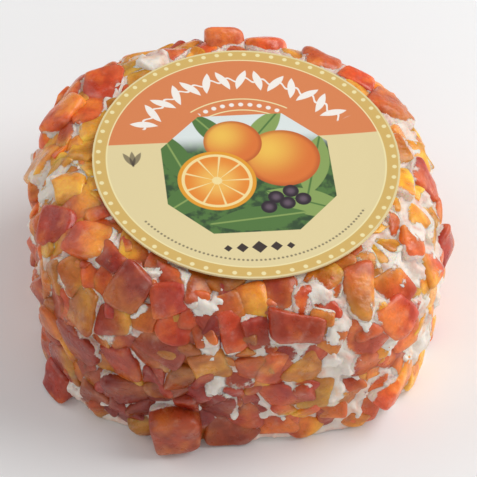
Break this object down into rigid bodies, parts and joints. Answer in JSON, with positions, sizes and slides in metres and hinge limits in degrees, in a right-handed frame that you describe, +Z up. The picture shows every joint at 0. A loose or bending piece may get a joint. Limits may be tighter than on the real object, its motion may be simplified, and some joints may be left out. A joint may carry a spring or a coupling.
{
  "type": "fresh goat cheese",
  "caption": "Small squat fresh goat cheese rolled in diced candied papaya, with a round paper label pressed onto its top.",
  "frame": {"origin": "middle of the flat face that the cheese rests on", "axes": "+Z up through the cheese to its label, -Y towards the front, where the label's lower field is, +X to the right seen from the front"},
  "size_m": [0.0623, 0.062, 0.0318],
  "materials": {
    "cheese": "moist fresh white cheese rolled in soft, glossy, translucent orange and red fruit dice",
    "label": "coated paper, satin"
  },
  "bodies": {
    "root": {"cheese": "cheese", "label": "label"}
  },
  "joints": []
}
